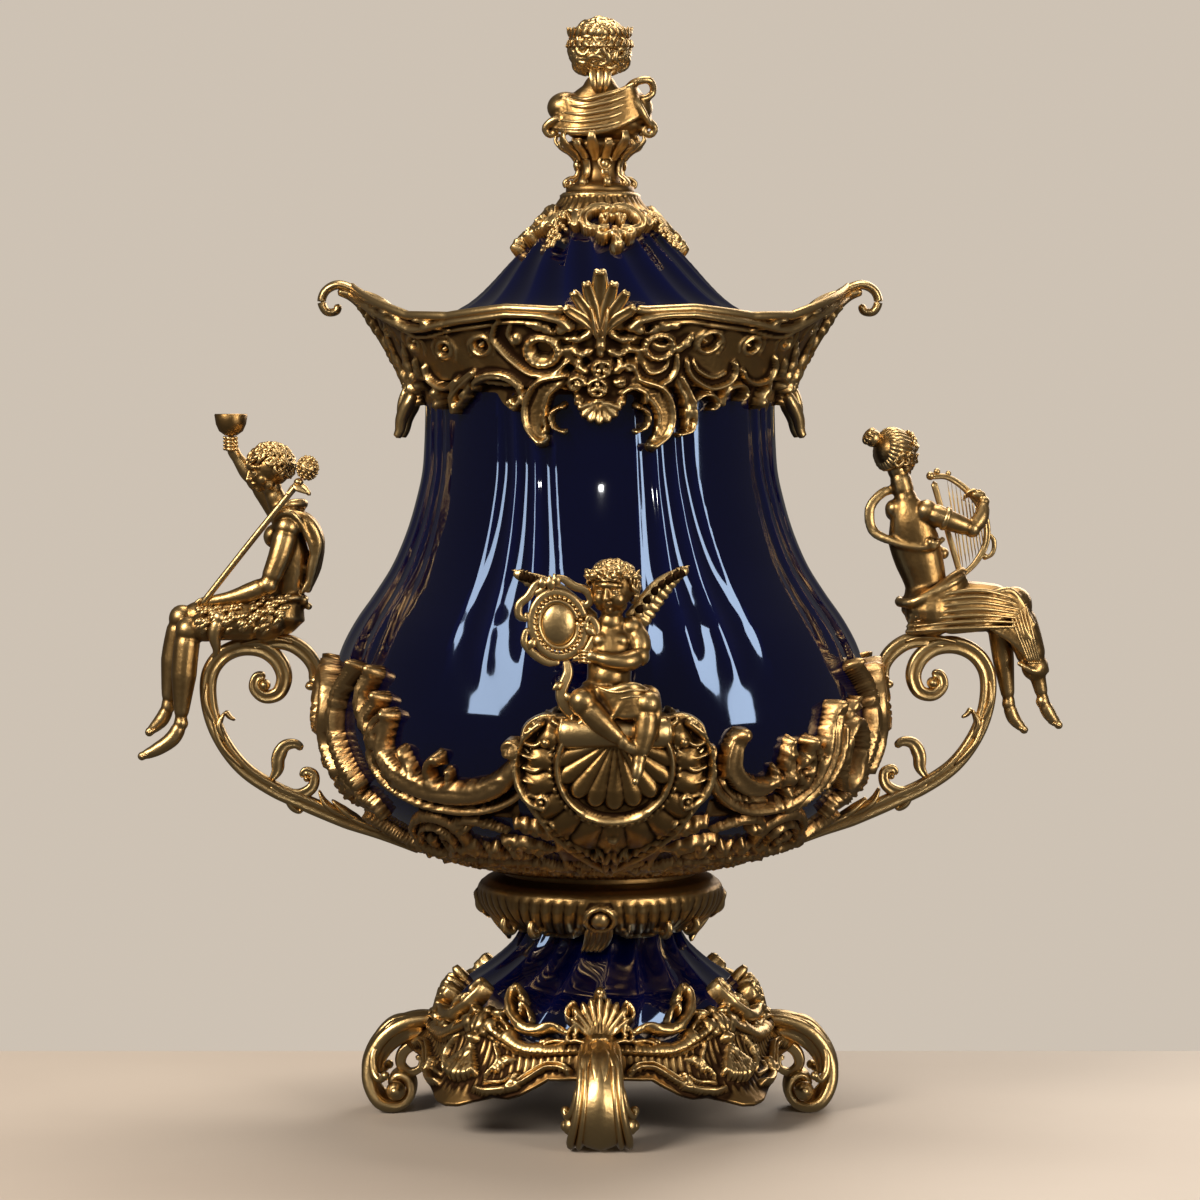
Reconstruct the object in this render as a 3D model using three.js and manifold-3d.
// A lidded mantel urn of cobalt porcelain in gilt bronze mounts, in millimetres.
// The urn stands on z = 0, its axis is the Z axis and its front faces -Y.
import * as THREE from "three";
import { mergeVertices } from "three/addons/utils/BufferGeometryUtils.js";
import Module from "manifold-3d";

const wasm = await Module();
wasm.setup();

// Heights of the stack, from the floor up
const ledgeHeight = 46; // the stand's ledge, which carries the porcelain pedestal
const pedestalHeight = 63;
const waistHeight = 29;
const cradleFloor = 3; // bronze under the porcelain body
const bodyHeight = 282;
const lidHeight = 74;
const crownPlate = 5.4; // bronze cap between the lid and the socle
const socleHeight = 30;
const bustHeight = 68;

// Radii of the porcelain
const pedestalFootRadius = 88;
const pedestalNeckRadius = 43.5;
const bodySeatRadius = 46;
const bellyRadius = 150;
const mouthRadius = 96;
const lidTopRadius = 19;

// Walls, clearances and the depth of the flutes
const porcelainWall = 5;
const seatGap = 0.3; // between a piece and the one that it rests on
const fitGap = 0.9; // between a bronze mount and the porcelain inside it
const fluteDepth = 1.6;
const lidRebate = 4; // how far the lid's rim drops into the mouth
const lidRoom = 3; // between that rim and the mouth round it

// The stand, on four scroll feet
const ledgeWidth = 10;
const standRimRadius = 96;
const standRimHeight = 6; // how far the rim stands above the ledge
const skirtRadius = 106;
const skirtHeight = 24; // from the floor to the skirt's edge, beside a foot
const footReach = 129;
const footWidth = 30;
const footVoluteRadius = 12.5;

// Waist ring, collar and crown
const waistRadius = 68;
const waistTopRadius = 51.5;
const collarDrop = 40; // from the mouth down to the collar's lower edge
const collarRise = 14; // from the mouth up to the collar's rim
const collarRimRadius = 114;
const collarThickness = 6;
const hornReach = 153;
const crownTurn = 12;

// The cradle, its brackets, the handles and the figures
const bowlTurn = 2.5; // the body and all that it carries is set a little round on its stand
const cradleThickness = 4;
const cradleLip = 2.5; // how far its rim stands out
const cradleClearance = 8.5; // room between the basket and the curve of the body
const cradleDipHeight = 187; // its rim where it is lowest, and then at the sides
const cradleSideHeight = 236;
const medallionBulge = 3;
const bracketHalfWidth = 44;
const bracketRise = 28.5; // from the basket's rim up to the bracket's seat
const bracketStandoff = 7; // room between the basket and the bracket's shell
const bracketRelief = 6; // how far the shell's ribs stand out
const bracketSeatDepth = 12.1;
const bracketSeatBow = 4; // how much farther out the seat's ends are than its middle
const bracketVolute = 9.8;
const bracketBand = 5.1;
const handleRise = 25.5; // from the basket's rim up to the figures' seats
const handleReach = 221;
const handleDepth = 12;
const handleBand = 6.4;
const seatInset = 46; // from a handle's outermost point in to where its figure sits
const puttoInset = 8; // from the edge of the bracket's seat in to the middle of the putto
const youthHeight = 108; // each figure's height from its seat to the top of its hair
const ladyHeight = 115;
const puttoHeight = 79;

const waistFloor = ledgeHeight + seatGap + pedestalHeight + seatGap;
const cradleFloorHeight = waistFloor + waistHeight + seatGap;
const bodyFloor = cradleFloorHeight + cradleFloor + seatGap;
const mouthHeight = bodyFloor + bodyHeight;
const lidFloor = mouthHeight + seatGap;
const lidTop = lidFloor + lidHeight;
const crownTop = lidTop + seatGap + crownPlate;
const socleFloor = crownTop + seatGap;
const bustFloor = socleFloor + socleHeight + seatGap;
const cradleFrontShare = 0.35; // the rim's height at the front, from its dip to its height at the sides
const cradleFrontHeight = cradleDipHeight + cradleFrontShare * (cradleSideHeight - cradleDipHeight);
const bracketSeatHeight = cradleFrontHeight + bracketRise;
const handleTopHeight = cradleSideHeight + handleRise;
const seatReach = handleReach - seatInset;

// Helpers: angles in degrees, azimuth 0 at the front and 90 at the viewer's right

const rad = THREE.MathUtils.degToRad;
const mix = THREE.MathUtils.lerp;
const v3 = (x, y, z) => new THREE.Vector3(x, y, z);
const at = (r, azimuth, z) =>
  v3(r * Math.sin(rad(azimuth)), -r * Math.cos(rad(azimuth)), z);
const outward = (azimuth) => at(1, azimuth, 0);
const range = (n) => Array.from({ length: n }, (_, i) => i);
const turned = (geometry, azimuth) => geometry.clone().rotateZ(rad(azimuth));

// Reads a table of [x, y] rows at x, in straight lines.
function along(table, x) {
  const last = table.length - 1;
  if (x <= table[0][0]) return table[0][1];
  if (x >= table[last][0]) return table[last][1];
  const i = table.findIndex((row) => row[0] >= x);
  const [[x0, y0], [x1, y1]] = [table[i - 1], table[i]];
  return mix(y0, y1, (x - x0) / (x1 - x0));
}

// How far an azimuth is from the nearest of the directions that repeat every `step` degrees.
function offAxis(azimuth, step) {
  const a = ((azimuth % step) + step) % step;
  return Math.min(a, step - a);
}

// A closed skin over a row of rings of points. A ring may have a half, a quarter or so of the points
// of the next one, or one point, which is a tip.
function skin(rings, looped = false) {
  const position = [];
  const starts = [];
  const index = [];
  for (const ring of rings) {
    starts.push(position.length / 3);
    ring.forEach((p) => position.push(p.x, p.y, p.z));
  }
  const bands = looped ? rings.length : rings.length - 1;
  for (let r = 0; r < bands; r++) {
    const s = (r + 1) % rings.length;
    const sides = Math.max(rings[r].length, rings[s].length);
    const corner = (k, i) =>
      starts[k] + (Math.floor((i * rings[k].length) / sides) % rings[k].length);
    for (let i = 0; i < sides; i++) {
      const [a, b, c, d] = [corner(r, i), corner(r, i + 1), corner(s, i + 1), corner(s, i)];
      if (a !== b) index.push(a, b, c);
      if (c !== d) index.push(a, c, d);
    }
  }
  if (!looped) {
    const last = rings.length - 1;
    for (let i = 1; i + 1 < rings[0].length; i++)
      index.push(starts[0], starts[0] + i + 1, starts[0] + i);
    for (let i = 1; i + 1 < rings[last].length; i++)
      index.push(starts[last], starts[last] + i, starts[last] + i + 1);
  }
  const geometry = new THREE.BufferGeometry();
  geometry.setAttribute("position", new THREE.Float32BufferAttribute(position, 3));
  geometry.setIndex(facingOut(position, index));
  return geometry;
}

// The triangles, turned over if they enclose a negative volume.
function facingOut(position, index) {
  const p = (i) => v3(position[3 * i], position[3 * i + 1], position[3 * i + 2]);
  let volume = 0;
  for (let i = 0; i < index.length; i += 3)
    volume += p(index[i]).dot(p(index[i + 1]).cross(p(index[i + 2])));
  return volume >= 0 ? index : [...index].reverse();
}

function solidOf(geometry) {
  const bare = geometry.clone();
  bare.deleteAttribute("normal");
  bare.deleteAttribute("uv");
  const merged = mergeVertices(bare, 1e-4);
  return new wasm.Manifold(
    new wasm.Mesh({
      numProp: 3,
      vertProperties: new Float32Array(merged.attributes.position.array),
      triVerts: new Uint32Array(merged.index.array),
    }),
  );
}

function geometryOf(solid) {
  const mesh = solid.getMesh();
  const geometry = new THREE.BufferGeometry();
  geometry.setAttribute(
    "position",
    new THREE.Float32BufferAttribute(mesh.vertProperties, 3),
  );
  geometry.setIndex(new THREE.Uint32BufferAttribute(mesh.triVerts, 1));
  return geometry;
}

// Shapes joined into one, without the specks that nearly touching faces leave
const speck = 1; // cubic millimetres
function join(...geometries) {
  const whole = geometries.flat().map(solidOf).reduce((a, b) => a.add(b));
  const bodies = whole.decompose().filter((body) => body.volume() > speck);
  return geometryOf(bodies.reduce((a, b) => a.add(b)));
}

// A bar swept along points: half(t) gives its half-width across and its half-height towards facing(point).
function bar(points, half, { steps = 6, sides = 5, facing } = {}) {
  const curve = new THREE.CatmullRomCurve3(points, false, "centripetal");
  const rings = range(steps + 1).map((i) => {
    const t = i / steps;
    const p = curve.getPoint(t);
    const forward = curve.getTangent(t);
    const up = facing(p).clone();
    up.addScaledVector(forward, -up.dot(forward)).normalize();
    const across = v3(0, 0, 0).crossVectors(forward, up);
    const [w, h] = half(t);
    return range(sides).map((k) => {
      const a = ((k + 0.5) / sides) * 2 * Math.PI;
      return p
        .clone()
        .addScaledVector(across, w * Math.cos(a))
        .addScaledVector(up, h * Math.sin(a));
    });
  });
  return skin(rings);
}

// A shape whose drawing is `drawn` tall, made `height` tall
const sized = (geometry, height, drawn) => {
  const k = height / drawn;
  return geometry.scale(k, k, k);
};
const drawnTop = (rows) => rows[rows.length - 1][0];

// Points on a spiral in a plane, from one radius and angle to another.
function whorl([x, y], [r0, r1], [a0, a1], count) {
  return range(count).map((i) => {
    const t = i / (count - 1);
    const r = mix(r0, r1, t);
    const a = rad(mix(a0, a1, t));
    return [x + r * Math.cos(a), y + r * Math.sin(a)];
  });
}

// A swelling profile for bars: thin at both ends, full at `peak`.
const swell = (full, ends, peak = 0.5) => (t) => {
  const k = t < peak ? t / peak : (1 - t) / (1 - peak);
  const h = mix(ends, full, Math.sin((k * Math.PI) / 2));
  return [h, h];
};

function ball([x, y, z], [rx, ry, rz], across = 8, down = 6) {
  return new THREE.SphereGeometry(1, across, down)
    .rotateX(Math.PI / 2)
    .scale(rx, ry, rz)
    .translate(x, y, z);
}

// A ring round the axis whose section, a loop of [radius, height], changes with the azimuth.
function hoop(azimuths, section) {
  return skin(
    azimuths.map((a) => section(a).map(([r, z]) => at(r, a, z))),
    true,
  );
}

// A plain ring of points round the axis
const circle = (r, z, count) => range(count).map((i) => at(r, (360 / count) * i, z));
const axisPoint = (z) => [v3(0, 0, z)];

// A turned solid from rows of [radius, height], closed to the axis at both ends
function turnedSolid(rows, segments) {
  const rings = rows.map(([r, z]) => circle(r, z, segments));
  return skin([axisPoint(rows[0][1]), ...rings, axisPoint(rows[rows.length - 1][1])]);
}

// The porcelain: one skin up the fluted outside, over the rim and down the plain inside

// Body radius by height: shares of the way from the seat to the belly, then from the mouth to the belly
const bellyShare = 0.276;
const bodyLower = [[0, 0], [0.03, 0.36], [0.085, 0.66], [0.15, 0.88], [0.21, 0.98], [bellyShare, 1]];
const bodyUpper = [[bellyShare, 1], [0.414, 0.84], [0.51, 0.511], [0.634, 0.18], [0.748, 0.026], [1, 0]];
const bellyHeight = bodyFloor + bellyShare * bodyHeight;
function bodyRadius(z) {
  const share = (z - bodyFloor) / bodyHeight;
  return share < bellyShare
    ? mix(bodySeatRadius, bellyRadius, along(bodyLower, share))
    : mix(mouthRadius, bellyRadius, along(bodyUpper, share));
}

// Three grooves in each eighth of the turn, with a smooth panel between the groups
const sectors = 8;
const grooveStep = 3.7;
const sectorPoints = [...range(7).map((i) => [(i - 3) * grooveStep, i % 2]), [180 / sectors, 0]];
const sectorStep = 360 / sectors;
function flutedRing(radius, z, depth, turn) {
  return range(sectors).flatMap((s) =>
    sectorPoints.map(([offset, inner]) =>
      at(radius - inner * depth, (s + 0.5) * sectorStep + offset + turn, z),
    ),
  );
}

// A plain ring that joins a fluted one: it starts at the same azimuth
function plainRing(radius, z, count, turn = 0) {
  return range(count).map((i) => at(radius, sectorStep / 4 + (360 / count) * i + turn, z));
}

// Even flutes all round
function reededRing(radius, z, depth, turn, count) {
  return range(2 * count).map((i) =>
    at(radius - (i % 2) * depth, (180 / count) * i + turn, z),
  );
}

const bodySwirl = 8;
const insideCount = 16;
function porcelainBody() {
  const heightAt = (share) => bodyFloor + share * bodyHeight;
  const turnAt = (share) => bodySwirl * (0.5 - share);
  const lower = bodyLower.slice(0, -1).map(([share]) => {
    const z = heightAt(share);
    return plainRing(bodyRadius(z), z, share < 0.2 ? 2 * sectors : 4 * sectors, turnAt(bellyShare));
  });
  const upper = bodyUpper.map(([share]) => {
    const z = heightAt(share);
    return flutedRing(bodyRadius(z), z, share > bellyShare ? fluteDepth : 0, turnAt(share));
  });
  const inside = [1, 0.72, 0.51, bellyShare, 0.134, 0.05].map((share) => {
    const z = heightAt(share);
    return plainRing(bodyRadius(z) - porcelainWall - fluteDepth, z, insideCount, turnAt(1));
  });
  const floor = bodyFloor + porcelainWall;
  const floorRing = plainRing(bodySeatRadius, floor, insideCount, turnAt(1));
  return skin([axisPoint(bodyFloor), ...lower, ...upper, ...inside, floorRing, axisPoint(floor)]);
}

// The pedestal and the lid share a form: even flutes on a turned wall that is open below and closed above.
function flutedShell(profile, { floor, height, swirl, flutes, rebate }) {
  const outside = profile.map(([share, r]) => {
    const depth = fluteDepth * Math.sin(Math.PI * Math.min(1, share * 1.1));
    return reededRing(r, floor + share * height, depth, swirl * (share - 0.5), flutes);
  });
  const wall = porcelainWall + fluteDepth;
  const plain = (r, z) => plainRing(r, z, insideCount, -sectorStep / 4);
  const edge = profile[0][1] - wall;
  const rim = edge - lidRoom;
  const under = rebate
    ? [plain(rim, floor), plain(rim, floor - rebate), plain(edge - wall, floor - rebate)]
    : [plain(edge, floor)];
  const inside = [0.2, 0.45, 0.72].map((share) => {
    return plain(along(profile, share) - wall, floor + (share - 0.04) * height);
  });
  const roofShare = 0.86;
  const roof = floor + roofShare * height;
  const top = floor + height;
  const dome = [plain(along(profile, roofShare) - wall, roof), axisPoint(roof)];
  return skin([axisPoint(top), ...outside.reverse(), ...under, ...inside, ...dome]);
}

const shaped = (shares, inner, outer) => shares.map(([share, k]) => [share, mix(inner, outer, k)]);
const pedestalProfile = shaped(
  [[0, 1], [0.16, 0.97], [0.36, 0.8], [0.5, 0.53], [0.68, 0.16], [1, 0]],
  pedestalNeckRadius,
  pedestalFootRadius,
);
const pedestalForm = { floor: ledgeHeight + seatGap, height: pedestalHeight, swirl: -26, flutes: 16 };
const porcelainPedestal = () => flutedShell(pedestalProfile, pedestalForm);

const lidProfile = shaped(
  [[0, 1], [0.07, 1], [0.28, 0.68], [0.43, 0.52], [0.6, 0.36], [1, 0]],
  lidTopRadius,
  mouthRadius,
);
const lidForm = { floor: lidFloor, height: lidHeight, swirl: 24, flutes: 16, rebate: lidRebate };
const porcelainLid = () => flutedShell(lidProfile, lidForm);

// The stand: a scrolled skirt with a ledge inside it, four feet, four cartouches and four corner shells

const quarters = [0, 90, 180, 270];
// All the way round, with the steps from 0 to half of `fold` mirrored and repeated
const roundAt = (steps, fold) =>
  range(360 / fold).flatMap((k) => {
    const back = steps.slice(1, -1).map((a) => fold - a);
    return [...steps, ...back.reverse()].map((a) => a + k * fold);
  });

// The rim rises in a cartouche over each foot and in a scroll beside each corner shell.
const standRise = [[0, 21], [7, 18], [13, 6], [26, 0], [37, 12], [45, 9]];
const standDip = [[0, 6], [13, 9], [26, 1], [37, -4], [45, -6]];
const standFlare = [[0, 3], [13, -2], [26, 1], [37, 4], [45, 12]];
const standLean = 0.55; // how far the rim leans in over the porcelain, for each millimetre that it rises

function standSkirt() {
  const inner = pedestalFootRadius - ledgeWidth;
  const wall = pedestalFootRadius + fitGap;
  const section = (azimuth) => {
    const off = offAxis(azimuth, 90);
    const rise = along(standRise, off);
    const top = ledgeHeight + standRimHeight + rise;
    const edge = skirtHeight + along(standDip, off);
    const reach = skirtRadius + along(standFlare, off);
    const lean = Math.max(0, rise - 8) * standLean;
    return [
      [inner, ledgeHeight - 4],
      [inner, ledgeHeight],
      [wall, ledgeHeight],
      [wall - lean, top],
      [standRimRadius - lean, top + 1],
      [standRimRadius + 2, ledgeHeight + 2],
      [reach, edge + 6],
      [reach - 6, edge],
    ];
  };
  return hoop(roundAt([0, 7, 13, 26, 37, 45], 90), section);
}

// One foot: a scroll in side view, given the width of the foot, with a flat underside
function standFoot() {
  const r = footVoluteRadius;
  const heel = footReach - r;
  const outline = [
    [standRimRadius - 4, ledgeHeight + 3],
    [standRimRadius + 13, ledgeHeight + 1],
    [footReach - 7, ledgeHeight - 8],
    [footReach, ledgeHeight - 21],
    [footReach, r * 0.8],
    [heel + r * 0.55, 0],
    [heel - r * 0.35, 0],
    [heel - r * 0.9, r * 0.35],
    [heel - r, r],
    [heel - r * 0.6, r * 1.6],
    [heel + 1, r * 1.75],
    [heel - 3, ledgeHeight - 11],
    [standRimRadius, ledgeHeight - 9],
  ];
  const side = new THREE.Shape(outline.map((p) => new THREE.Vector2(...p)));
  const scroll = new THREE.ExtrudeGeometry(side, { depth: footWidth, bevelEnabled: false });
  scroll.translate(0, 0, -footWidth / 2).rotateX(Math.PI / 2).rotateZ(-Math.PI / 2);
  const axle = [-1, 1].map((x) => v3(x * footWidth * 0.72, -heel, r * 0.84));
  const facing = () => v3(0, 0, 1);
  const volute = bar(axle, () => [r * 0.72, r * 0.72], { steps: 1, sides: 7, facing });
  return join(scroll, volute);
}

const stand = () => join(standSkirt(), quarters.map((q) => turned(standFoot(), q)));

// The waist ring: gadroons between the pedestal and the bowl, with four bosses over hanging leaves

function waistRing() {
  const lip = pedestalNeckRadius + fitGap + fluteDepth;
  const top = waistFloor + waistHeight;
  const gadroons = 12;
  const row = (r, z, depth) => reededRing(r, z, depth, 0, gadroons);
  const core = skin([
    axisPoint(waistFloor),
    row(lip, waistFloor, 0),
    row(lip + 4, waistFloor - 5, 0),
    row(waistRadius - 4, waistFloor + 7, 3),
    row(waistRadius, waistFloor + 15, 3),
    row(waistTopRadius + 1, top - 5, 0),
    row(waistTopRadius, top, 0),
    axisPoint(top),
  ]);
  // Each boss is a drop that runs down into a leaf
  const line = [[2, 19], [1, 12], [-7, 0], [-13, -6]];
  const wide = [[0, 2], [0.35, 8], [0.7, 7], [1, 2.5]];
  const deep = [[0, 2], [0.35, 7], [0.7, 3], [1, 2.5]];
  const bosses = quarters.map((q) => {
    const path = line.map(([r, z]) => at(waistRadius + r, q, waistFloor + z));
    const facing = () => outward(q);
    return bar(path, (t) => [along(wide, t), along(deep, t)], { steps: 3, sides: 5, facing });
  });
  return join(core, bosses);
}

// The cradle: a basket round the lower body, scalloped and beaded at its rim

// Its rim by azimuth, as a share of the way from its lowest height to that at the sides
const cradleRim = [
  [0, cradleFrontShare], [16, cradleFrontShare], [21, 0.51], [26, 0.47], [31, 0.06], [38, 0],
  [47, 0.12], [58, 0.43], [69, 0.82], [80, 1], [90, 1],
];
const cradleSteps = cradleRim.map(([azimuth]) => azimuth);
const medallionAzimuth = 76;
const medallionSpread = 9;
const foldedSide = (azimuth) => offAxis(azimuth, 180);
const cradleInner = (z) => bodyRadius(z) + fitGap + cradleClearance;
const cradleOuter = (z, azimuth = 0) => {
  const share = THREE.MathUtils.clamp((z - bodyFloor) / (cradleSideHeight - bodyFloor), 0, 1);
  const medallion = Math.exp(-(((foldedSide(azimuth) - medallionAzimuth) / medallionSpread) ** 2));
  const bulge = medallion * medallionBulge * Math.sin(Math.PI * Math.min(1, share * 1.1));
  return cradleInner(z) + cradleThickness + bulge;
};

const cradleSink = 3; // its outside is set lower than its inside, which makes its underside thicker
function cradle() {
  const foot = waistTopRadius + 2;
  const section = (azimuth) => {
    const rim = mix(cradleDipHeight, cradleSideHeight, along(cradleRim, foldedSide(azimuth)));
    const inside = [0.1, 0.18, 0.28, 0.55, 0.8, 1].map((share) => {
      const z = mix(bodyFloor, rim, share);
      return [cradleInner(z), z];
    });
    const outside = [0.72, 0.4, 0.13].map((share) => {
      const z = mix(bodyFloor, rim - 4, share);
      return [cradleOuter(z, azimuth), z - cradleSink];
    });
    const outer = cradleOuter(rim, azimuth);
    return [
      [foot - 15, cradleFloorHeight],
      [foot - 15, bodyFloor - seatGap],
      [bodySeatRadius + 3, bodyFloor - seatGap],
      ...inside,
      [outer + 1, rim + 2],
      [outer + cradleLip, rim - 4],
      ...outside,
      [foot, cradleFloorHeight],
    ];
  };
  return hoop(roundAt(cradleSteps, 180), section);
}

// A bracket: a shell in a frame, under the scrolled seat that the putto sits on

const bracketBack = (z) => cradleOuter(Math.min(z + cradleSink, bellyHeight)) + fitGap + bracketStandoff;
const bracketSeatBack = cradleOuter(bracketSeatHeight) + cradleLip + fitGap;
const bracketSeatReach = bracketSeatBack + bracketSeatDepth;

function bracket() {
  const foot = bodyFloor + bracketHalfWidth * 0.27;
  const forward = () => v3(0, -1, 0);
  const voluteHeight = bracketSeatHeight - bracketVolute - bracketBand / 2;
  // The face is fluted like a shell, across rows of [height, half-width, depth]
  const flutes = [
    [-1, 0], [-0.86, 1], [-0.6, 0.7], [-0.36, 1.1], [0, 0.8], [0.36, 1.1], [0.6, 0.7], [0.86, 1], [1, 0],
  ];
  const wide = voluteHeight - bracketVolute * 0.9;
  const lower = [[0, 0.16, 0.6], [0.27, 0.61, 0.75], [0.63, 1, 0.9], [1, 1.09, 1]].map(
    ([share, half, depth]) => [mix(foot, wide, share), half, depth],
  );
  const top = [bracketSeatHeight - bracketBand / 2, 0.82, 0.75];
  const rows = [...lower, top].map(([z, half, depth]) => {
    const back = bracketBack(z);
    const face = flutes.map(([k, out]) => {
      const x = k * half * bracketHalfWidth;
      return v3(x, -Math.sqrt(back * back - x * x) - out * depth * bracketRelief, z);
    });
    return [v3(0, -back, z), ...face];
  });
  // The seat: a broad band that ends in a volute on each side
  const end = bracketHalfWidth - bracketVolute;
  const hook = whorl([end, voluteHeight], [bracketVolute / 2, bracketVolute], [-150, 90], 5);
  const mirrored = hook.map(([x, z]) => [-x, z]);
  const arch = [...mirrored, [0, bracketSeatHeight - bracketBand / 2], ...hook.reverse()];
  const middle = bracketSeatBack + bracketSeatDepth / 2;
  const path = arch.map(([x, z]) => v3(x, -middle - bracketSeatBow * (x / end) ** 2, z));
  const half = [(bracketBand / 2) * Math.SQRT2, (bracketSeatDepth / 2) * Math.SQRT2];
  const seat = bar(path, () => half, { steps: 10, sides: 4, facing: forward });
  const eye = [bracketVolute * 0.7, bracketSeatDepth * 0.56, bracketVolute * 0.7];
  const eyes = [-1, 1].map((side) => {
    return ball([side * end, -middle - bracketSeatBow, voluteHeight + 0.4], eye, 7, 5);
  });
  // The web closes the shell to the seat, between the volutes
  const web = new THREE.BoxGeometry(2 * end, bracketSeatDepth, bracketVolute * 1.3);
  web.translate(0, -middle - bracketSeatBow / 2, bracketSeatHeight - bracketBand / 2 - bracketVolute * 0.65);
  return join(skin(rows), seat, web, eyes);
}

// The collar: a flared rim with horns at the sides, a palmette at the front and back, and hanging leaves

const collarTopRise = [[0, 2], [12, 0], [26, 1], [45, -2.5], [60, -1.5], [75, 8], [90, 16]];
const collarTopFlare = [[0, 2], [26, 1], [45, -1], [60, 4], [75, 13], [90, 22]];
const collarLowerEdge = [
  [0, 0], [8, 0], [11, 3], [17, 17], [22, 4], [26, -6],
  [34, -8], [45, -6], [60, -7], [75, -6], [82, 8], [90, 3],
];
const collarSteps = [0, 11, 17, 22, 27, 36, 48, 62, 75, 82, 90];

function collar() {
  const inner = mouthRadius + fitGap;
  const rim = mouthHeight + collarRise;
  const section = (azimuth) => {
    const side = foldedSide(azimuth);
    const top = rim + along(collarTopRise, side);
    const flare = collarRimRadius + along(collarTopFlare, side);
    const low = mouthHeight - collarDrop - along(collarLowerEdge, side);
    const belly = inner + collarThickness + 3;
    return [
      [inner + (mouthHeight - low) * 0.02, low],
      [belly, low + 1],
      [belly + 2, mouthHeight - 10],
      [flare, top],
      [flare - collarThickness, top - 1],
      [inner + 1, mouthHeight + 4],
    ];
  };
  const parts = [hoop(roundAt(collarSteps, 180), section)];
  for (const half of [0, 180]) {
    // The horn: a long lip that curls over and back
    const top = rim + along(collarTopRise, 90);
    const lip = [[-26, -5], [-18, -2], [-9, 1], [-2, -1], [-0.5, -8], [-6, -11]];
    const horn = lip.map(([r, z]) => at(hornReach + r, 90 + half, top + z));
    const facing = () => v3(0, 0, 1);
    parts.push(bar(horn, (t) => [mix(10, 4, t), mix(4, 3, t)], { steps: 5, sides: 4, facing }));
    // The palmette that rises from the middle of the rim, and the flower below it
    const lobes = [[-14, -6], [-15, 6], [-9, 13], [-6, 12], [0, 19], [6, 12], [9, 13], [15, 6], [14, -6]];
    const face = [3, -3].map((out) => {
      return lobes.map(([side, z]) => at(collarRimRadius + out, half + side * 0.5, rim + z));
    });
    parts.push(skin([[at(collarRimRadius + 5, half, rim + 2)], ...face]));
    const flower = [0, -inner - collarThickness - 3, mouthHeight - 24];
    parts.push(turned(ball(flower, [9, 5, 9], 6, 3), half));
  }
  return join(parts);
}

// The crown: a cap on the lid, four pointed cartouches and four berry drops between them

// Its lower edge, as a share of the lid's height, by the angle from a cartouche
const crownEdge = [[0, 0.5], [9, 0.57], [18, 0.66], [27, 0.8], [36, 0.62], [45, 0.54]];
const crownRelief = [[0, 6], [18, 3.6], [27, 2.6], [36, 4.5], [45, 6]];

const crownShoulder = 0.92; // the share of the lid's height where the cartouches end in a neck
function crown() {
  const ring = (point) => roundAt([0, 9, 18, 27, 36, 45], 90).map((azimuth) => {
    const [r, z] = point(offAxis(azimuth, 90));
    return at(r, azimuth + crownTurn, z);
  });
  const onLid = (share, out) => {
    return [along(lidProfile, share) + fitGap + out, lidFloor + share * lidHeight + out * 0.6];
  };
  const relief = (off, part) => along(crownRelief, off) * part;
  return skin([
    axisPoint(lidTop + seatGap),
    ring(() => [lidTopRadius + 1, lidTop + seatGap]),
    ring((off) => onLid(along(crownEdge, off), 0)),
    ring((off) => onLid(along(crownEdge, off) + 0.02, relief(off, 1))),
    ring((off) => onLid(mix(along(crownEdge, off), 1, 0.5), relief(off, 1))),
    ring((off) => onLid(crownShoulder, relief(off, 0.4) + 2)),
    ring(() => [lidTopRadius + 2, crownTop]),
    axisPoint(crownTop),
  ]);
}

// The socle: a scrolled block between the crown and the bust

function socle() {
  // Rows of [height, radius to a flat side, radius to a scrolled corner]
  const rows = [
    [0, 16.5, 17.5], [5, 16.5, 19], [9, 11.5, 16], [14, 11, 13],
    [19, 12, 15], [24.5, 14, 21], [28, 15, 20], [30, 16, 17.5],
  ];
  const rings = rows.map(([z, flat, corner]) => {
    return range(8).map((i) => at(i % 2 ? corner : flat, 45 * i, z));
  });
  return sized(skin(rings), socleHeight, drawnTop(rows)).translate(0, 0, socleFloor);
}

// Limbs and heads of the figures

// A round limb through points, with a radius at each of them
const limb = (points, radii, sides = 5) => {
  const table = radii.map((r, i) => [i / (radii.length - 1), r]);
  const half = (t) => [along(table, t), along(table, t)];
  const facing = () => v3(0.05, 1, 0.02);
  return bar(points.map((p) => v3(...p)), half, { steps: points.length - 1, sides, facing });
};

// An oval loft through [height, middle, half-width out, half-width aside, how deep the locks are] rows
function figure(rows, sides = 8) {
  return skin(
    rows.map(([z, middle, out, side, locks = 0]) =>
      range(sides).map((k) => {
        const a = ((k + 0.5) / sides) * 2 * Math.PI;
        const lock = k % 2 ? locks : 0;
        return v3(middle + (out - lock) * Math.cos(a), (side - lock) * Math.sin(a), z);
      }),
    ),
  );
}

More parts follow.
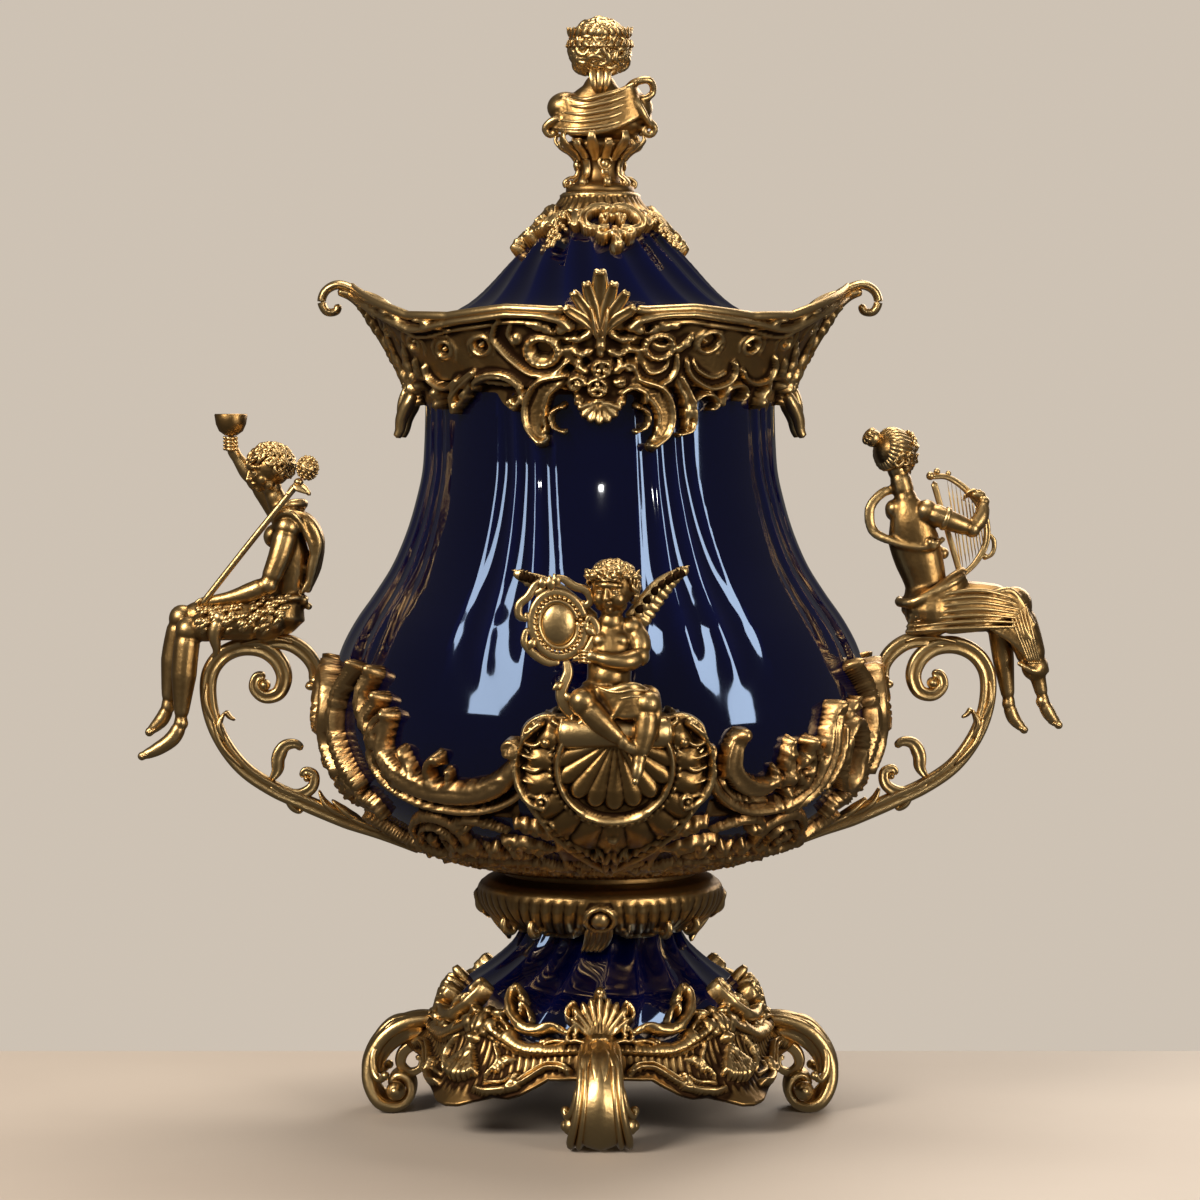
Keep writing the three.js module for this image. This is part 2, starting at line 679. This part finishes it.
// The bust on the lid, seen from behind: shoulders in drapery, a head with curled hair
function bust() {
  const shoulders = [
    [0, 0, 16, 11], [6, 0, 22, 13], [15, 0, 29, 15], [22, 0, 29, 13], [28, 0, 12, 9], [34, 0, 7, 7.5],
  ];
  const head = [
    [39, -1, 13, 13, 2], [48, -1, 17, 17, 3], [57, -1, 16.5, 17, 3], [64, 0, 11, 12, 2], [68, 0, 4, 4],
  ];
  const knot = limb([[12, -9, 36], [22, -9, 32], [27, -6, 23], [25, -3, 14]], [3.4, 3.8, 3.4, 2.6]);
  const sash = limb([[-28, -6, 21], [-14, -15, 12], [6, -16, 9], [25, -10, 20]], [2.4, 3.4, 3.4, 2.4]);
  const whole = join(figure([...shoulders, ...head]), knot, sash);
  return sized(whole, bustHeight, drawnTop(head)).translate(0, 0, bustFloor);
}

// The handle: one S-scrolled band from under the bowl, up and over into a volute, with a branch to the rim.
// It is drawn as [distance from the axis, height] for the right-hand side.
function handle() {
  const side = cradleOuter(bellyHeight);
  // Under the bowl: a share of the basket's radius, and the drop below its underside
  const underBowl = ([share, drop]) => {
    const r = share * side;
    const k = (r - side + bellyRadius - bodySeatRadius) / (bellyRadius - bodySeatRadius);
    return [r, bodyFloor + bodyHeight * along(bodyLower.map(([height, out]) => [out, height]), k) - drop];
  };
  const springHeight = mix(bodyFloor, bellyHeight, 0.48); // where it leaves the underside of the bowl
  // Beside it: shares of the way out from the basket and up from the spring to the top, less some bands
  const beside = ([out, up, bands = 0]) => {
    return [mix(side, handleReach, out), mix(springHeight, handleTopHeight, up) - bands * handleBand];
  };
  const main = [
    ...[[0.606, 8.3], [0.734, 10], [0.857, 13.6]].map(underBowl),
    ...[
      [0, 0, 1.17], [0.29, 0], [0.58, 0.145], [0.81, 0.364], [0.913, 0.594], [0.896, 0.79], [0.757, 1, 1.09],
      [0.549, 1, 0.62], [0.323, 1, 1.09], [0.167, 0.812], [0.149, 0.703], [0.253, 0.642], [0.392, 0.673],
      [0.427, 0.752],
    ].map(beside),
  ];
  // The branch comes down on the basket's rim
  const rim = cradleOuter(cradleSideHeight) + cradleLip + handleBand / 2;
  const branch = [
    ...[[0.392, 1, 0.7], [0.184, 1, 0.41]].map(beside),
    [rim - 2.4, cradleSideHeight + 0.75 * handleRise],
    [rim - 7.9, cradleSideHeight + 0.47 * handleRise],
    [rim - 2.4, cradleSideHeight + cradleSink + handleBand / 2],
  ];
  const twigs = [
    [[0.219, -0.012], [0.132, 0.145], [0.159, 0.291], [0.085, 0.327]].map(beside),
    [[0.253, 0.012], [0.058, 0], [-0.06, 0.061], [-0.026, 0.133]].map(beside),
    [[0.918, 18], [0.869, 9], [0.851, 9]].map(underBowl),
  ];
  const place = ([r, z]) => v3(r, 0, z);
  const facing = () => v3(0, 1, 0);
  const square = (thick, deep) => [(thick / 2) * Math.SQRT2, (deep / 2) * Math.SQRT2];
  const sweep = (points, half, steps) => bar(points.map(place), half, { steps, sides: 4, facing });
  const taper = (t) => mix(0.55, 1, Math.min(1, t * 2.2));
  return join(
    sweep(main, (t) => square(handleBand * taper(t), handleDepth * mix(0.7, 1, taper(t))), 22),
    sweep(branch, () => square(handleBand * 0.8, handleDepth * 0.9), 5),
    twigs.map((points) => {
      const half = (t) => square(handleBand * mix(0.94, 0.53, t), handleDepth * mix(0.67, 0.38, t));
      return sweep(points, half, 2);
    }),
  );
}

const placeHandle = (geometry, side) => geometry.clone().rotateZ(side < 0 ? Math.PI : 0);

// Both seated figures look along +X and their points are [out, aside, up] from the seat on the handle.
const seated = (geometry) => geometry.translate(seatReach, 0, handleTopHeight + seatGap);

// The youth raises a dish and holds a long staff. The figure is turned round, so the viewer's side is +Y.
function youthWithStaff() {
  const trunk = [
    [0, -1, 12, 12], [9, 0, 14, 13], [21, -3, 10, 11], [36, -5, 10.5, 11.5],
    [54, -5, 11.5, 14], [64, -3, 8, 13], [70, 0, 5, 5.5], [79, 4, 5, 5],
  ];
  const head = [
    [84, 8, 9, 8.5], [91, 8, 12, 10.5], [98, 7, 13, 12, 2.5], [104, 5, 11, 11, 2.5], [108, 4, 5, 5],
  ];
  const nearLeg = [[10, 7, 12], [50, 7, 7], [54, 8, -20], [56, 8, -46], [63, 8, -54], [75, 8, -62]];
  const farLeg = [[10, -6, 12], [55, -5, 11], [61, -6, -12], [63, -6, -37], [69, -6, -44], [79, -6, -52]];
  const parts = [
    figure([...trunk, ...head]),
    limb([[-3, 10, 64], [7, 15, 32], [24, 13, 24], [43, 9.5, 20]], [6.4, 5, 4.2, 3.6]),
    limb([[0, -10, 64], [15, -12, 86], [26, -7, 105], [28, -6, 112]], [6.4, 4.8, 3.2, 4]),
    limb(nearLeg, [10, 7, 6, 3.2, 3, 2]),
    limb(farLeg, [10, 6.6, 5.6, 3.2, 3, 2]),
    figure([[1, 16, 25, 13], [8, 18, 31, 17], [17, 14, 26, 15], [25, -2, 12, 12.6]], 7),
    limb([[-8, 0, 68], [-17, 1, 58], [-20, 2, 42], [-16, 2, 24]], [6, 7, 6, 3]),
  ];
  const bowl = [[2, 112], [2.6, 117], [8.8, 124], [7.6, 125], [5, 122.5]];
  const dish = turnedSolid(bowl, 6).translate(27, -6, 0);
  const shaft = limb([[44, 15.4, 18], [16, 19, 54], [-11, 22.4, 88]], [1.9, 2.1, 2.1]);
  const knob = [[86, 0, 2.4, 2.4], [90, -1, 5.6, 5.6], [97, -2, 5.8, 5.8], [103, -3, 2, 2]];
  const cone = figure(knob, 6).translate(-11.5, 22.6, 0);
  return [join(parts, dish), join(shaft, cone)].map((part) => {
    return placeHandle(seated(sized(part, youthHeight, drawnTop(head))), -1);
  });
}

// The lady looks out from the urn and plays a lyre, in a skirt that wraps her legs. The viewer's side is -Y.
function ladyWithLyre() {
  const trunk = [
    [0, -1, 13, 13], [9, 2, 15, 14], [22, 5, 12, 11], [36, 4, 9.5, 8.6], [50, 0, 11, 9],
    [64, -3, 13, 9.5], [73, -5, 10, 8], [79, -6, 5, 5], [88, -8, 5, 5],
  ];
  const head = [
    [92, -10, 9.5, 9], [98, -11, 12, 11], [105, -12, 13, 11.5, 2], [111, -13, 10, 9.5, 2], [115, -13, 4, 4],
  ];
  const scarf = [[-10, 5, 76], [-20, 6, 80], [-26, 3, 68], [-20, -4, 54], [-4, -8, 50], [8, -8, 58]];
  const flat = { steps: 6, sides: 4, facing: () => v3(0.1, 1, 0) };
  const parts = [
    figure([...trunk, ...head]),
    ball([-24, 0, 108], [5.4, 5, 5], 5, 4),
    limb([[4, -6, 70], [30, -14, 58], [39, -10, 70], [34, -6, 80]], [6.4, 5, 3.8, 3.2]),
    limb([[-9, 6, 70], [0, 12, 50], [17, 11, 43]], [5.8, 5, 3.6]),
    limb([[2, 0, 16], [26, 0, 16], [52, -1, 16], [60, -3, 0], [65, -4, -18]], [14, 14, 10, 8.6, 7.4], 7),
    limb([[64, -4, -10], [69, -4, -36], [74, -4, -43], [81, -4, -50]], [5, 3, 3, 2]),
    limb([[50, 5, 12], [51, 6, -12], [50, 6, -34], [58, 6, -44]], [7, 5.4, 3, 2.2]),
    bar(scarf.map((p) => v3(...p)), () => [3, 3.6], flat),
  ];
  return [join(parts), lyre()].map((part) => {
    return placeHandle(seated(sized(part, ladyHeight, drawnTop(head))), 1);
  });
}

// The lyre: a curved frame round a string board
function lyre() {
  const y = 2.5;
  const flat = (points) => points.map(([x, z]) => v3(x, y, z));
  const bow = [[13, 87], [26, 81], [38, 68], [41, 54], [35, 41], [26, 33]];
  const facing = () => v3(0, 1, 0);
  const frame = bar(flat(bow), () => [3, 3.6], { steps: 7, sides: 4, facing });
  const pillar = bar(flat([[14, 86], [19, 60], [26, 33]]), () => [2.6, 3.4], { steps: 2, sides: 4, facing });
  const board = skin([-1, 1].map((side) => flat(bow).map((p) => p.clone().setY(y + side))));
  const foot = ball([26, y, 32], [3.4, 3.4, 3.4], 6, 4);
  return join(frame, pillar, board, foot);
}

// The putto on the front bracket and the cartouche that it holds. Their points are
// [out towards the viewer, aside to the viewer's right, up] from the seat.
function puttoWithCartouche() {
  const trunk = [
    [0, -1, 8, 13], [8, -1, 11, 15], [20, -2, 9, 11], [33, -2, 9, 12], [43, -2, 8, 13], [49, -1, 5, 6],
  ];
  const head = [
    [53, 0, 9, 9], [60, 0, 12.5, 12], [67, 0, 13.5, 13.5, 2.5], [74, -1, 11, 11.5, 2.5], [79, -1, 5, 5],
  ];
  const crossedLeg = [[0, -7, 10], [13, -14, 9], [16.4, -11, -1], [15.6, 0, -10], [15, 5, -16]];
  const hangingLeg = [[0, 6, 10], [13, 14, 9], [16.6, 15, -2], [15.8, 13, -16], [15, 11, -27], [18, 10, -33]];
  const parts = [
    figure([...trunk, ...head]),
    limb([[0, 9, 44], [5, 14, 33], [8, 6, 28], [8, -7, 29]], [6, 5, 4, 3.6]),
    limb([[0, -9, 44], [0, -18, 37], [3, -24, 32]], [6, 4.8, 3.6]),
    limb(crossedLeg, [8.5, 6.8, 5.2, 4.2, 3.4]),
    limb(hangingLeg, [8.5, 6.8, 5.4, 4.6, 3.4, 3]),
  ];
  // Wings: a fan of feathers in one thin blade on each side
  const blade = [[3, 44], [14, 57], [28, 68], [42, 77], [37, 62], [27, 50], [14, 38]];
  for (const side of [-1, 1]) {
    const layer = (out) => blade.map(([s, up]) => v3(-7 - s * 0.08 + out, side * s - 1, up));
    parts.push(skin([layer(-1.4), layer(1.4)]));
  }
  const seat = new THREE.Matrix4().makeBasis(v3(0, -1, 0), v3(1, 0, 0), v3(0, 0, 1));
  return [join(parts), cartouche()].map((part) => {
    return sized(part, puttoHeight, drawnTop(head))
      .applyMatrix4(seat)
      .translate(0, puttoInset - bracketSeatReach, bracketSeatHeight + seatGap);
  });
}

// The cartouche: an oval boss in a scrolled frame, on a curved stem
function cartouche() {
  const centre = v3(13, -28, 48);
  const loop = whorl([0, 0], [1, 1], [0, 324], 10);
  const outline = loop.map(([x, z]) => v3(0, 17 * x - 2.4 * z, 20 * z + 3 * x));
  const layer = (out, k) => outline.map((p) => p.clone().multiplyScalar(k).add(centre).add(v3(out, 0, 0)));
  const plate = skin([layer(-2.6, 0.92), layer(0.6, 1), layer(2.6, 0.8)]);
  const boss = ball([centre.x + 2.4, centre.y, centre.z], [3.6, 8.4, 10.4], 8, 4);
  const stem = limb([[12, -27, 31], [12, -29, 20], [9, -27, 9], [6, -25, 3.4]], [4, 3.2, 3, 3.4]);
  return join(plate, boss, stem);
}

// Materials and the assembly

const gilt = () => new THREE.MeshStandardMaterial({ color: 0x9c7536, roughness: 0.34, metalness: 0.9 });
const cobalt = () => new THREE.MeshStandardMaterial({ color: 0x0b1030, roughness: 0.06, metalness: 0 });

function piece(name, geometry, material) {
  const mesh = new THREE.Mesh(geometry, material);
  mesh.name = name;
  return mesh;
}

const urn = new THREE.Group();
urn.add(
  piece("stand", stand(), gilt()),
  piece("porcelain_pedestal", porcelainPedestal(), cobalt()),
  piece("waist_ring", waistRing(), gilt()),
  piece("rim_collar", collar(), gilt()),
  piece("porcelain_lid", porcelainLid(), cobalt()),
  piece("lid_crown", crown(), gilt()),
  piece("bust_socle", socle(), gilt()),
  piece("lid_bust", bust(), gilt()),
);

const bowl = new THREE.Group();
bowl.rotation.z = rad(bowlTurn);
const frontBracket = bracket();
const handleShape = handle();
const [youth, staff] = youthWithStaff();
const [lady, lyreShape] = ladyWithLyre();
const [putto, cartoucheShape] = puttoWithCartouche();
bowl.add(
  piece("porcelain_body", porcelainBody(), cobalt()),
  piece("bowl_cradle", cradle(), gilt()),
  piece("front_bracket", frontBracket, gilt()),
  piece("back_bracket", turned(frontBracket, 180), gilt()),
  piece("left_handle", placeHandle(handleShape, -1), gilt()),
  piece("right_handle", placeHandle(handleShape, 1), gilt()),
  piece("youth_with_dish", youth, gilt()),
  piece("youth_staff", staff, gilt()),
  piece("lady", lady, gilt()),
  piece("lyre", lyreShape, gilt()),
  piece("putto", putto, gilt()),
  piece("putto_cartouche", cartoucheShape, gilt()),
);
urn.add(bowl);

export default urn;
